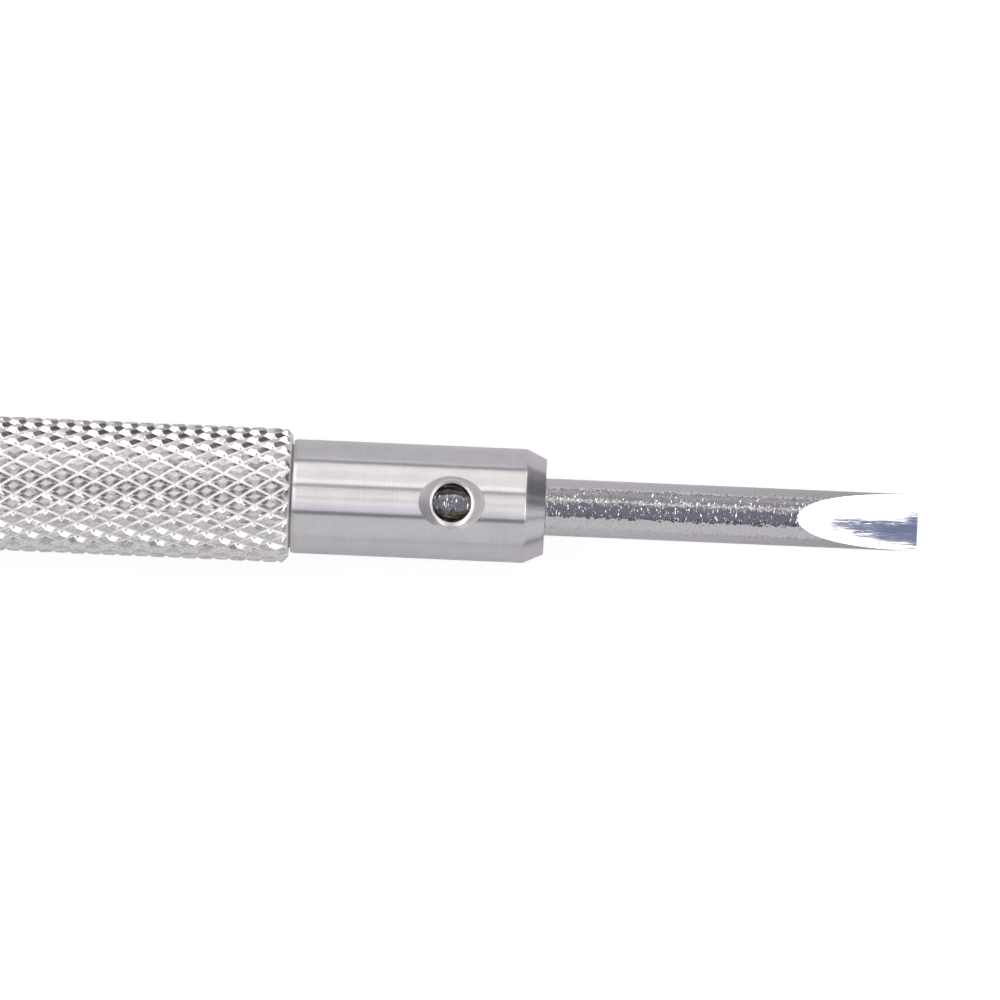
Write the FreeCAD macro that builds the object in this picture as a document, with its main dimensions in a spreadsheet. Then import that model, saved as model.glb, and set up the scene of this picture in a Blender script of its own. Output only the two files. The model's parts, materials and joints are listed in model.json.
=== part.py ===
import FreeCAD, Part
import math
import os

import Sketcher
from FreeCAD import Vector

# Watchmaker screwdriver: a hollow-ground blade clamped in a turned nose, a knurled handle, and a
# hexagonal finger head that turns freely on a shielded ball bearing.
#
# Millimetres. +X runs along the tool towards the blade's working edge, +Z is up, and the origin
# is the centre of the working edge. The blade's flats and the nose's cross hole face +Z and -Z.

# Driving dimensions. Each one becomes a spreadsheet cell with this alias.
DIMENSIONS = {
    # blade
    "blade_diameter": 3.0,
    "blade_length": 32.0,
    "blade_exposed": 19.6,
    "blade_rear_chamfer": 0.3,
    "edge_thickness": 0.46,
    "grind_run": 7.4,
    "grind_entry": 0.3,
    "grind_radius": 45.5,
    # nose that holds the blade
    "nose_diameter": 6.0,
    "nose_length": 13.4,
    "nose_chamfer_length": 1.05,
    "nose_chamfer_depth": 0.5,
    "nose_rear_round": 0.12,
    "blade_bore_diameter": 3.06,
    "blade_bore_depth": 13.0,
    "spigot_diameter": 3.96,
    "spigot_length": 8.0,
    "spigot_chamfer": 0.3,
    "cross_hole_setback": 4.9,
    "cross_hole_diameter": 2.06,
    "countersink_diameter": 3.48,
    # headless screw that clamps the blade
    "clamp_screw_diameter": 2.0,
    "clamp_screw_length": 1.3,
    "clamp_screw_gap": 0.02,
    "clamp_screw_point": 0.25,
    "clamp_slot_width": 0.36,
    "clamp_slot_depth": 0.42,
    # knurled handle
    "handle_diameter": 7.05,
    "handle_length": 70.0,
    "handle_end_chamfer": 0.3,
    "handle_bore_diameter": 4.0,
    "handle_front_bore_depth": 9.0,
    "handle_rear_bore_depth": 8.0,
    # coloured size ring
    "ring_diameter": 6.6,
    "ring_bore_diameter": 4.64,
    "ring_length": 3.0,
    "ring_chamfer": 0.25,
    # stud that carries the head
    "stud_diameter": 3.96,
    "stud_length": 7.0,
    "ring_seat_diameter": 4.6,
    "flange_diameter": 5.8,
    "flange_length": 0.6,
    "shoulder_diameter": 2.9,
    "shoulder_length": 0.5,
    "journal_diameter": 1.98,
    "journal_length": 2.95,
    "journal_hole_diameter": 1.0,
    "journal_hole_depth": 3.0,
    # ball bearing, 2 x 6 x 3
    "bearing_bore_diameter": 2.0,
    "bearing_diameter": 6.0,
    "bearing_width": 3.0,
    "ball_diameter": 1.0,
    "ball_circle_diameter": 4.0,
    "ball_count": 7,
    "race_clearance": 0.015,
    "inner_land_diameter": 3.2,
    "outer_land_diameter": 4.8,
    "cage_inner_diameter": 3.42,
    "cage_outer_diameter": 4.58,
    "cage_width": 1.7,
    "cage_pocket_diameter": 1.08,
    "shield_diameter": 5.18,
    "shield_bore_diameter": 3.36,
    "shield_thickness": 0.15,
    "shield_recess_diameter": 5.2,
    "shield_recess_depth": 0.3,
    "shield_setback": 0.12,
    # screw that holds the bearing on the stud
    "bearing_screw_diameter": 0.96,
    "bearing_screw_length": 2.5,
    "bearing_screw_head_diameter": 2.8,
    "bearing_screw_head_length": 0.6,
    "bearing_screw_slot_width": 0.32,
    "bearing_screw_slot_depth": 0.28,
    # swivel head
    "head_gap": 0.3,
    "head_across_flats": 9.0,
    "head_length": 8.5,
    "head_edge_round": 0.5,
    "head_corner_chamfer": 0.55,
    "head_bore_diameter": 6.02,
    "head_neck_diameter": 4.9,
    "dish_recess_diameter": 6.8,
    "dish_recess_depth": 3.0,
    # finger dish pressed into the head
    "dish_diameter": 6.78,
    "dish_depth": 0.7,
    "dish_hollow_diameter": 5.9,
    "dish_edge_chamfer": 0.15,
}

# Differences smaller than this count as none.
TOLERANCE = 1e-6
# How closely an edge's size has to match the one that is looked for.
EDGE_TOLERANCE = 1e-4
# How far a cutting outline reaches beyond the metal it cuts.
CUT_MARGIN = 1.0

doc = FreeCAD.newDocument("watchmaker_screwdriver")
sheet = doc.addObject("Spreadsheet::Sheet", "dims")
for row, (alias, value) in enumerate(DIMENSIONS.items(), start=1):
    sheet.set(f"A{row}", alias)
    sheet.set(f"B{row}", str(value))
    sheet.setAlias(f"B{row}", alias)
doc.recompute()


class Size:
    """A length as a number, with the spreadsheet formula that it comes from."""

    def __init__(self, value, formula):
        self.value = value
        self.formula = formula

    @staticmethod
    def of(thing):
        if isinstance(thing, Size):
            return thing
        return Size(float(thing), repr(thing))

    def join(self, sign, other, value):
        return Size(value, f"({self.formula} {sign} {other.formula})")

    def __add__(self, other):
        other = Size.of(other)
        return self.join("+", other, self.value + other.value)

    def __sub__(self, other):
        other = Size.of(other)
        return self.join("-", other, self.value - other.value)

    def __mul__(self, other):
        other = Size.of(other)
        return self.join("*", other, self.value * other.value)

    def __truediv__(self, other):
        other = Size.of(other)
        return self.join("/", other, self.value / other.value)

    def __neg__(self):
        return Size(-self.value, f"(0 - {self.formula})")


def dim(alias):
    return Size(float(sheet.get(alias)), f"dims.{alias}")


def half_of(alias):
    return dim(alias) / 2


def radius(alias):
    return half_of(alias)


# Stations along the tool, from the working edge back to the head.
NOSE_FRONT = -dim("blade_exposed")
NOSE_REAR = NOSE_FRONT - dim("nose_length")
HANDLE_REAR = NOSE_REAR - dim("handle_length")
RING_REAR = HANDLE_REAR - dim("ring_length")
FLANGE_REAR = RING_REAR - dim("flange_length")
BEARING_FRONT = FLANGE_REAR - dim("shoulder_length")
BEARING_MIDDLE = BEARING_FRONT - half_of("bearing_width")
BEARING_REAR = BEARING_FRONT - dim("bearing_width")
HEAD_FRONT = FLANGE_REAR - dim("head_gap")
HEAD_REAR = HEAD_FRONT - dim("head_length")
CROSS_HOLE = NOSE_FRONT - dim("cross_hole_setback")


# Sketch helpers -------------------------------------------------------------------------------


def new_body(label):
    body = doc.addObject("PartDesign::Body", label)
    body.Label = label
    return body


def new_sketch(body, name, plane):
    sketch = body.newObject("Sketcher::SketchObject", f"{body.Label}_{name}")
    support = next(item for item in body.Origin.OriginFeatures if item.Role == plane)
    sketch.AttachmentSupport = (support, [""])
    sketch.MapMode = "FlatFace"
    doc.recompute()
    return sketch


def bind(sketch, constraint, size):
    index = sketch.addConstraint(constraint)
    sketch.setExpression(f"Constraints[{index}]", size.formula)


def fix_point(sketch, geometry, point, across, up):
    """Hold a point at (across, up) from the sketch's origin."""
    for kind, size, axis in (("DistanceX", across, -2), ("DistanceY", up, -1)):
        if abs(size.value) < TOLERANCE:
            sketch.addConstraint(Sketcher.Constraint("PointOnObject", geometry, point, axis))
        elif size.value > 0:
            rule = Sketcher.Constraint(kind, -1, 1, geometry, point, size.value)
            bind(sketch, rule, size)
        else:
            rule = Sketcher.Constraint(kind, geometry, point, -1, 1, -size.value)
            bind(sketch, rule, -size)


def draw_outline(sketch, points):
    """Draw a closed outline of straight lines through the points, each of them fixed."""
    corners = [(Size.of(across), Size.of(up)) for across, up in points]
    places = [Vector(across.value, up.value, 0) for across, up in corners]
    first = sketch.GeometryCount
    count = len(corners)
    for index in range(count):
        line = Part.LineSegment(places[index], places[(index + 1) % count])
        sketch.addGeometry(line, False)
    for index, (across, up) in enumerate(corners):
        after = first + (index + 1) % count
        sketch.addConstraint(Sketcher.Constraint("Coincident", first + index, 2, after, 1))
        fix_point(sketch, first + index, 1, across, up)


def draw_circle(sketch, across, up, circle_radius):
    across = Size.of(across)
    up = Size.of(up)
    centre = Vector(across.value, up.value, 0)
    circle = Part.Circle(centre, Vector(0, 0, 1), circle_radius.value)
    index = sketch.addGeometry(circle, False)
    fix_point(sketch, index, 3, across, up)
    bind(sketch, Sketcher.Constraint("Radius", index, circle_radius.value), circle_radius)


# Feature helpers ------------------------------------------------------------------------------


def revolve(body, name, points):
    """Turn an outline of (x, radius) points about the tool's axis."""
    sketch = new_sketch(body, f"{name}_outline", "XZ_Plane")
    draw_outline(sketch, points)
    feature = body.newObject("PartDesign::Revolution", f"{body.Label}_{name}")
    feature.Profile = sketch
    feature.ReferenceAxis = (sketch, ["H_Axis"])
    feature.Angle = 360
    doc.recompute()
    return feature


def expect_less(body, before):
    doc.recompute()
    if body.Shape.Volume >= before - TOLERANCE:
        raise RuntimeError(f"{body.Label}: a cut removed nothing")


def groove(body, name, sketch, axis):
    """Cut a turned groove or hole with the sketch's outline."""
    before = body.Shape.Volume
    feature = body.newObject("PartDesign::Groove", f"{body.Label}_{name}")
    feature.Profile = sketch
    feature.ReferenceAxis = (sketch, [axis])
    feature.Angle = 360
    expect_less(body, before)
    return feature


def turned_cut(body, name, points):
    sketch = new_sketch(body, f"{name}_outline", "XZ_Plane")
    draw_outline(sketch, points)
    return groove(body, name, sketch, "H_Axis")


def turned_race(body, name, x, race_radius, circle_radius):
    sketch = new_sketch(body, f"{name}_circle", "XZ_Plane")
    draw_circle(sketch, x, race_radius, circle_radius)
    return groove(body, name, sketch, "H_Axis")


def through_pocket(body, name, sketch):
    """Cut the sketch's outline right through, to both sides of its plane."""
    before = body.Shape.Volume
    feature = body.newObject("PartDesign::Pocket", f"{body.Label}_{name}")
    feature.Profile = sketch
    feature.Type = "ThroughAll"
    feature.SideType = "Symmetric"
    expect_less(body, before)
    return feature


def screw_slot(body, depth_points):
    """Cut a driver slot whose section lies in the XZ plane."""
    sketch = new_sketch(body, "slot_outline", "XZ_Plane")
    draw_outline(sketch, depth_points)
    return through_pocket(body, "slot", sketch)


def place(item, x=None, y=None, z=None):
    for axis, size in (("x", x), ("y", y), ("z", z)):
        if size is not None:
            item.setExpression(f"Placement.Base.{axis}", size.formula)
    doc.recompute()


def edges_named(shape, wanted):
    return [f"Edge{number}" for number, edge in enumerate(shape.Edges, start=1) if wanted(edge)]


def is_circle_at(edge, x, circle_radius):
    curve = edge.Curve
    if not isinstance(curve, Part.Circle):
        return False
    near_x = abs(curve.Center.x - x.value) < EDGE_TOLERANCE
    return near_x and abs(curve.Radius - circle_radius.value) < EDGE_TOLERANCE


def dress(body, kind, name, base, edges, property_name, size):
    """Add a fillet or chamfer of the given size to the named edges."""
    if not edges:
        raise RuntimeError(f"{body.Label}: no edge for {name}")
    feature = body.newObject(f"PartDesign::{kind}", f"{body.Label}_{name}")
    feature.Base = (base, edges)
    setattr(feature, property_name, size.value)
    feature.setExpression(property_name, size.formula)
    doc.recompute()
    return feature


# Pieces ---------------------------------------------------------------------------------------


def make_blade():
    """Round steel blade with a hollow-ground flat on each side of its working edge."""
    body = new_body("blade")
    blade_radius = radius("blade_diameter")
    length = dim("blade_length")
    chamfer = dim("blade_rear_chamfer")
    revolve(
        body,
        "stock",
        [
            (-length, 0),
            (-length, blade_radius - chamfer),
            (chamfer - length, blade_radius),
            (0, blade_radius),
            (0, 0),
        ],
    )
    grind = through_pocket(body, "grind", grind_sketch(body, blade_radius))
    mirrored = body.newObject("PartDesign::Mirrored", "blade_grind_pair")
    mirrored.Originals = [grind]
    plane = next(item for item in body.Origin.OriginFeatures if item.Role == "XY_Plane")
    mirrored.MirrorPlane = (plane, [""])
    body.Tip = mirrored
    doc.recompute()
    return body


def grind_sketch(body, blade_radius):
    """Side view of the metal that the grinding wheel removes above the blade's upper flat."""
    sketch = new_sketch(body, "grind_outline", "XZ_Plane")
    wheel = dim("grind_radius")
    entry = (-dim("grind_run"), blade_radius + dim("grind_entry"))
    edge = (Size.of(0), dim("edge_thickness") / 2)
    clear = Size.of(CUT_MARGIN)
    start = Vector(entry[0].value, entry[1].value, 0)
    end = Vector(edge[0].value, edge[1].value, 0)
    chord = end - start
    normal = Vector(-chord.y, chord.x, 0).normalize()
    reach = math.sqrt(wheel.value**2 - (chord.Length / 2) ** 2)
    centre = (start + end) * 0.5 + normal * reach
    first_angle = math.atan2(start.y - centre.y, start.x - centre.x)
    last_angle = math.atan2(end.y - centre.y, end.x - centre.x)
    circle = Part.Circle(centre, Vector(0, 0, 1), wheel.value)
    arc = sketch.addGeometry(Part.ArcOfCircle(circle, first_angle, last_angle), False)
    fix_point(sketch, arc, 1, *entry)
    fix_point(sketch, arc, 2, *edge)
    bind(sketch, Sketcher.Constraint("Radius", arc, wheel.value), wheel)
    corners = [edge, (clear, edge[1]), (clear, entry[1]), entry]
    places = [Vector(across.value, up.value, 0) for across, up in corners]
    lines = []
    for here, there in zip(places, places[1:]):
        lines.append(sketch.addGeometry(Part.LineSegment(here, there), False))
    sketch.addConstraint(Sketcher.Constraint("Coincident", arc, 2, lines[0], 1))
    sketch.addConstraint(Sketcher.Constraint("Coincident", lines[0], 2, lines[1], 1))
    sketch.addConstraint(Sketcher.Constraint("Coincident", lines[1], 2, lines[2], 1))
    sketch.addConstraint(Sketcher.Constraint("Coincident", lines[2], 2, arc, 1))
    fix_point(sketch, lines[1], 1, *corners[1])
    fix_point(sketch, lines[1], 2, *corners[2])
    doc.recompute()
    return sketch


def make_blade_holder():
    """Turned nose with the blade's bore, a tapped cross hole and a threaded spigot."""
    body = new_body("blade_holder")
    nose_radius = radius("nose_diameter")
    spigot_radius = radius("spigot_diameter")
    spigot_end = -dim("spigot_length")
    chamfer = dim("spigot_chamfer")
    front = dim("nose_length")
    stock = revolve(
        body,
        "stock",
        [
            (spigot_end, 0),
            (spigot_end, spigot_radius - chamfer),
            (spigot_end + chamfer, spigot_radius),
            (0, spigot_radius),
            (0, nose_radius),
            (front - dim("nose_chamfer_length"), nose_radius),
            (front, nose_radius - dim("nose_chamfer_depth")),
            (front, 0),
        ],
    )
    rear_edge = edges_named(body.Shape, lambda edge: is_circle_at(edge, Size.of(0), nose_radius))
    dress(body, "Fillet", "rear_round", stock, rear_edge, "Radius", dim("nose_rear_round"))
    bore_radius = radius("blade_bore_diameter")
    bore_end = front - dim("blade_bore_depth")
    turned_cut(
        body,
        "bore",
        [
            (bore_end, 0),
            (bore_end, bore_radius),
            (front + CUT_MARGIN, bore_radius),
            (front + CUT_MARGIN, 0),
        ],
    )
    cut_cross_hole(body, front - dim("cross_hole_setback"), nose_radius)
    place(body, x=NOSE_REAR)
    return body


def cut_cross_hole(body, hole_x, nose_radius):
    """Cut the hole across the nose, with a 90 degree countersink at both mouths."""
    hole_radius = radius("cross_hole_diameter")
    sink_radius = radius("countersink_diameter")
    sink_bottom = nose_radius - (sink_radius - hole_radius)
    beyond = nose_radius + CUT_MARGIN
    wide = sink_radius + CUT_MARGIN
    sketch = new_sketch(body, "cross_hole_outline", "XZ_Plane")
    draw_outline(
        sketch,
        [
            (hole_x, -beyond),
            (hole_x + wide, -beyond),
            (hole_x + hole_radius, -sink_bottom),
            (hole_x + hole_radius, sink_bottom),
            (hole_x + wide, beyond),
            (hole_x, beyond),
        ],
    )
    bottom = Vector(hole_x.value, -beyond.value, 0)
    top = Vector(hole_x.value, beyond.value, 0)
    axis = sketch.addGeometry(Part.LineSegment(bottom, top), True)
    fix_point(sketch, axis, 1, hole_x, -beyond)
    fix_point(sketch, axis, 2, hole_x, beyond)
    doc.recompute()
    groove(body, "cross_hole", sketch, "Axis0")


def make_blade_set_screw():
    """Headless slotted screw in the lower mouth of the cross hole; its point faces up."""
    body = new_body("blade_set_screw")
    screw_radius = radius("clamp_screw_diameter")
    point = dim("clamp_screw_point")
    length = dim("clamp_screw_length")
    sketch = new_sketch(body, "stock_outline", "XZ_Plane")
    draw_outline(
        sketch,
        [
            (0, 0),
            (screw_radius - point, 0),
            (screw_radius, -point),
            (screw_radius, -length),
            (0, -length),
        ],
    )
    stock = body.newObject("PartDesign::Revolution", "blade_set_screw_stock")
    stock.Profile = sketch
    stock.ReferenceAxis = (sketch, ["V_Axis"])
    stock.Angle = 360
    doc.recompute()
    half_slot = half_of("clamp_slot_width")
    slot_bottom = dim("clamp_slot_depth") - length
    below = -(length + CUT_MARGIN)
    screw_slot(
        body,
        [
            (-half_slot, below),
            (half_slot, below),
            (half_slot, slot_bottom),
            (-half_slot, slot_bottom),
        ],
    )
    top = -(radius("blade_diameter") + dim("clamp_screw_gap"))
    place(body, x=CROSS_HOLE, z=top)
    return body


def make_knurled_handle():
    """Handle bar at the size of its knurl's crests, bored at both ends."""
    body = new_body("knurled_handle")
    handle_radius = radius("handle_diameter")
    length = dim("handle_length")
    chamfer = dim("handle_end_chamfer")
    revolve(
        body,
        "stock",
        [
            (0, 0),
            (0, handle_radius - chamfer),
            (chamfer, handle_radius),
            (length - chamfer, handle_radius),
            (length, handle_radius - chamfer),
            (length, 0),
        ],
    )
    bore_radius = radius("handle_bore_diameter")
    rear_depth = dim("handle_rear_bore_depth")
    turned_cut(
        body,
        "rear_bore",
        [(-CUT_MARGIN, 0), (-CUT_MARGIN, bore_radius), (rear_depth, bore_radius), (rear_depth, 0)],
    )
    front_end = length - dim("handle_front_bore_depth")
    beyond = length + CUT_MARGIN
    turned_cut(
        body,
        "front_bore",
        [(front_end, 0), (front_end, bore_radius), (beyond, bore_radius), (beyond, 0)],
    )
    place(body, x=HANDLE_REAR)
    return body


def make_size_ring():
    """Anodised ring whose colour tells the blade's width."""
    body = new_body("size_ring")
    outer = radius("ring_diameter")
    bore = radius("ring_bore_diameter")
    length = dim("ring_length")
    chamfer = dim("ring_chamfer")
    revolve(
        body,
        "section",
        [
            (0, bore),
            (0, outer - chamfer),
            (chamfer, outer),
            (length - chamfer, outer),
            (length, outer - chamfer),
            (length, bore),
        ],
    )
    place(body, x=RING_REAR)
    return body


def make_head_stud():
    """Stud screwed into the handle: it clamps the size ring and carries the bearing."""
    body = new_body("head_stud")
    journal = radius("journal_diameter")
    shoulder = radius("shoulder_diameter")
    flange = radius("flange_diameter")
    ring_seat = radius("ring_seat_diameter")
    thread = radius("stud_diameter")
    shoulder_x = dim("journal_length")
    flange_x = shoulder_x + dim("shoulder_length")
    seat_x = flange_x + dim("flange_length")
    thread_x = seat_x + dim("ring_length")
    end_x = thread_x + dim("stud_length")
    chamfer = dim("spigot_chamfer")
    revolve(
        body,
        "stock",
        [
            (0, 0),
            (0, journal),
            (shoulder_x, journal),
            (shoulder_x, shoulder),
            (flange_x, shoulder),
            (flange_x, flange),
            (seat_x, flange),
            (seat_x, ring_seat),
            (thread_x, ring_seat),
            (thread_x, thread),
            (end_x - chamfer, thread),
            (end_x, thread - chamfer),
            (end_x, 0),
        ],
    )
    hole = radius("journal_hole_diameter")
    depth = dim("journal_hole_depth")
    turned_cut(
        body,
        "screw_hole",
        [(-CUT_MARGIN, 0), (-CUT_MARGIN, hole), (depth, hole), (depth, 0)],
    )
    place(body, x=BEARING_FRONT - dim("journal_length"))
    return body


def race_section_radius():
    return radius("ball_diameter") + dim("race_clearance")


def make_bearing_inner_ring():
    body = new_body("bearing_inner_ring")
    bore = radius("bearing_bore_diameter")
    land = radius("inner_land_diameter")
    half = half_of("bearing_width")
    revolve(body, "section", [(-half, bore), (-half, land), (half, land), (half, bore)])
    turned_race(body, "race", 0, radius("ball_circle_diameter"), race_section_radius())
    place(body, x=BEARING_MIDDLE)
    return body


def make_bearing_outer_ring():
    body = new_body("bearing_outer_ring")
    outer = radius("bearing_diameter")
    land = radius("outer_land_diameter")
    recess = radius("shield_recess_diameter")
    half = half_of("bearing_width")
    inside = half - dim("shield_recess_depth")
    revolve(
        body,
        "section",
        [
            (-half, recess),
            (-half, outer),
            (half, outer),
            (half, recess),
            (inside, recess),
            (inside, land),
            (-inside, land),
            (-inside, recess),
        ],
    )
    turned_race(body, "race", 0, radius("ball_circle_diameter"), race_section_radius())
    place(body, x=BEARING_MIDDLE)
    return body


def make_bearing_cage():
    """Ring that keeps the balls apart, with one radial pocket for each ball."""
    body = new_body("bearing_cage")
    inner = radius("cage_inner_diameter")
    outer = radius("cage_outer_diameter")
    half = half_of("cage_width")
    revolve(body, "section", [(-half, inner), (-half, outer), (half, outer), (half, inner)])
    sketch = new_sketch(body, "pocket_circle", "XY_Plane")
    draw_circle(sketch, 0, 0, radius("cage_pocket_diameter"))
    before = body.Shape.Volume
    pocket = body.newObject("PartDesign::Pocket", "bearing_cage_pocket")
    pocket.Profile = sketch
    pocket.Type = "ThroughAll"
    pocket.Reversed = True
    expect_less(body, before)
    pattern = body.newObject("PartDesign::PolarPattern", "bearing_cage_pockets")
    pattern.Originals = [pocket]
    axis = next(item for item in body.Origin.OriginFeatures if item.Role == "X_Axis")
    pattern.Axis = (axis, [""])
    pattern.Angle = 360
    pattern.Occurrences = int(dim("ball_count").value)
    pattern.setExpression("Occurrences", dim("ball_count").formula)
    body.Tip = pattern
    place(body, x=BEARING_MIDDLE)
    return body


def make_bearing_ball(number):
    """Ball number 1 is at the top; the others follow round the tool's axis."""
    ball = doc.addObject("Part::Sphere", f"bearing_ball_{number}")
    ball.Label = f"bearing_ball_{number}"
    ball.setExpression("Radius", radius("ball_diameter").formula)
    turn = math.radians((number - 1) * 360 / dim("ball_count").value)
    turn_formula = f"({number - 1} * 360 deg / dims.ball_count)"
    circle_radius = radius("ball_circle_diameter")
    y = circle_radius * Size(-math.sin(turn), f"(0 - sin({turn_formula}))")
    z = circle_radius * Size(math.cos(turn), f"cos({turn_formula})")
    place(ball, x=BEARING_MIDDLE, y=y, z=z)
    return ball


def make_bearing_shield(label, rear_x):
    """Thin pressed ring in the outer ring's recess; it clears the inner ring."""
    body = new_body(label)
    bore = radius("shield_bore_diameter")
    outer = radius("shield_diameter")
    thickness = dim("shield_thickness")
    revolve(body, "section", [(0, bore), (0, outer), (thickness, outer), (thickness, bore)])
    place(body, x=rear_x)
    return body


def make_bearing_screw():
    """Slotted screw in the stud's end: its head holds the inner ring on the journal."""
    body = new_body("bearing_screw")
    shank = radius("bearing_screw_diameter")
    head = radius("bearing_screw_head_diameter")
    head_length = dim("bearing_screw_head_length")
    end = dim("bearing_screw_length")
    revolve(
        body,
        "stock",
        [(-head_length, 0), (-head_length, head), (0, head), (0, shank), (end, shank), (end, 0)],
    )
    half_slot = half_of("bearing_screw_slot_width")
    slot_bottom = dim("bearing_screw_slot_depth") - head_length
    behind = -(head_length + CUT_MARGIN)
    screw_slot(
        body,
        [
            (behind, -half_slot),
            (behind, half_slot),
            (slot_bottom, half_slot),
            (slot_bottom, -half_slot),
        ],
    )
    place(body, x=BEARING_REAR)
    return body


def make_swivel_shell():
    """Hexagonal head shell: the bearing goes in at the front and the finger dish at the rear."""
    body = new_body("swivel_shell")
    length = dim("head_length")
    half_flats = half_of("head_across_flats")
    corner = Size(
        half_flats.value * 2 / math.sqrt(3), f"({half_flats.formula} * 2 / sqrt(3))"
    )
    sketch = new_sketch(body, "hexagon", "YZ_Plane")
    draw_outline(
        sketch,
        [
            (corner, 0),
            (corner / 2, half_flats),
            (-(corner / 2), half_flats),
            (-corner, 0),
            (-(corner / 2), -half_flats),
            (corner / 2, -half_flats),
        ],
    )
    prism = body.newObject("PartDesign::Pad", "swivel_shell_prism")
    prism.Profile = sketch
    prism.Length = length.value
    prism.setExpression("Length", length.formula)
    doc.recompute()
    along = edges_named(body.Shape, lambda edge: abs(edge.Length - length.value) < EDGE_TOLERANCE)
    dress(body, "Fillet", "corner_round", prism, along, "Radius", dim("head_edge_round"))
    cut_head_ends(body, length, half_flats)
    cut_head_bores(body, length)
    place(body, x=HEAD_REAR)
    return body


def cut_head_ends(body, length, half_flats):
    """Turn a cone on each end of the hexagon, so that no corner is sharp in the hand."""
    chamfer = dim("head_corner_chamfer")
    inside = half_flats - chamfer / 2
    slope_end = chamfer * 2
    wide = inside + slope_end + CUT_MARGIN
    run = slope_end + CUT_MARGIN
    turned_cut(
        body, "rear_cone", [(-CUT_MARGIN, inside - CUT_MARGIN), (run, wide), (-CUT_MARGIN, wide)]
    )
    beyond = length + CUT_MARGIN
    turned_cut(
        body, "front_cone", [(beyond, inside - CUT_MARGIN), (length - run, wide), (beyond, wide)]
    )


def cut_head_bores(body, length):
    bearing_bore = radius("head_bore_diameter")
    neck = radius("head_neck_diameter")
    dish_recess = radius("dish_recess_diameter")
    shoulder_x = length - (HEAD_FRONT - BEARING_REAR)
    dish_x = dim("dish_recess_depth")
    turned_cut(
        body,
        "bores",
        [
            (-CUT_MARGIN, 0),
            (-CUT_MARGIN, dish_recess),
            (dish_x, dish_recess),
            (dish_x, neck),
            (shoulder_x, neck),
            (shoulder_x, bearing_bore),
            (length + CUT_MARGIN, bearing_bore),
            (length + CUT_MARGIN, 0),
        ],
    )


def make_finger_dish():
    """Plug pressed into the back of the head, hollowed for the fingertip."""
    body = new_body("finger_dish")
    outer = radius("dish_diameter")
    thickness = dim("dish_recess_depth")
    chamfer = dim("dish_edge_chamfer")
    revolve(
        body,
        "stock",
        [
            (0, 0),
            (0, outer - chamfer),
            (chamfer, outer),
            (thickness, outer),
            (thickness, 0),
        ],
    )
    hollow = radius("dish_hollow_diameter")
    depth = dim("dish_depth")
    sphere = (hollow * hollow + depth * depth) / (depth * 2)
    centre_x = depth - sphere
    sketch = new_sketch(body, "hollow_outline", "XZ_Plane")
    centre = Vector(centre_x.value, 0, 0)
    circle = Part.Circle(centre, Vector(0, 0, 1), sphere.value)
    arc = sketch.addGeometry(Part.ArcOfCircle(circle, 0, math.pi), False)
    front = Vector(centre_x.value + sphere.value, 0, 0)
    rear = Vector(centre_x.value - sphere.value, 0, 0)
    line = sketch.addGeometry(Part.LineSegment(rear, front), False)
    sketch.addConstraint(Sketcher.Constraint("Coincident", arc, 2, line, 1))
    sketch.addConstraint(Sketcher.Constraint("Coincident", arc, 1, line, 2))
    fix_point(sketch, arc, 3, centre_x, Size.of(0))
    bind(sketch, Sketcher.Constraint("Radius", arc, sphere.value), sphere)
    sketch.addConstraint(Sketcher.Constraint("PointOnObject", line, 1, -1))
    sketch.addConstraint(Sketcher.Constraint("PointOnObject", line, 2, -1))
    doc.recompute()
    groove(body, "hollow", sketch, "H_Axis")
    place(body, x=HEAD_REAR)
    return body


def make_pieces():
    pieces = [
        make_blade(),
        make_blade_holder(),
        make_blade_set_screw(),
        make_knurled_handle(),
        make_size_ring(),
        make_head_stud(),
        make_bearing_inner_ring(),
        make_bearing_outer_ring(),
        make_bearing_cage(),
        make_bearing_screw(),
        make_swivel_shell(),
        make_finger_dish(),
    ]
    setback = dim("shield_setback")
    front_x = BEARING_FRONT - setback - dim("shield_thickness")
    pieces.append(make_bearing_shield("bearing_shield_front", front_x))
    pieces.append(make_bearing_shield("bearing_shield_rear", BEARING_REAR + setback))
    for number in range(1, int(dim("ball_count").value) + 1):
        pieces.append(make_bearing_ball(number))
    return pieces


def check_document(pieces):
    """Stop if any feature failed, any sketch is loose, or any piece has no good solid."""
    doc.recompute()
    for item in doc.Objects:
        if "Invalid" in item.State or "Error" in item.State:
            raise RuntimeError(f"{item.Label} failed: {item.State}")
        if item.TypeId == "Sketcher::SketchObject" and not item.FullyConstrained:
            raise RuntimeError(f"{item.Label} is not fully constrained")
    for piece in pieces:
        shape = piece.Shape
        if shape.isNull() or not shape.isValid() or len(shape.Solids) != 1:
            raise RuntimeError(f"{piece.Label} has no good solid")


def write_pieces(pieces):
    os.makedirs("parts", exist_ok=True)
    for piece in pieces:
        piece.Shape.exportStep(f"parts/{piece.Label}.step")
        box = piece.Shape.BoundBox
        print(
            f"{piece.Label:22s} x {box.XMin:8.3f} {box.XMax:8.3f}  y {box.YMin:7.3f} {box.YMax:7.3f}"
            f"  z {box.ZMin:7.3f} {box.ZMax:7.3f}  volume {piece.Shape.Volume:9.3f}"
        )


all_pieces = make_pieces()
check_document(all_pieces)
write_pieces(all_pieces)
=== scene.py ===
import json
import math

import bmesh
import bpy
from mathutils import Matrix, Vector, noise


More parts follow.
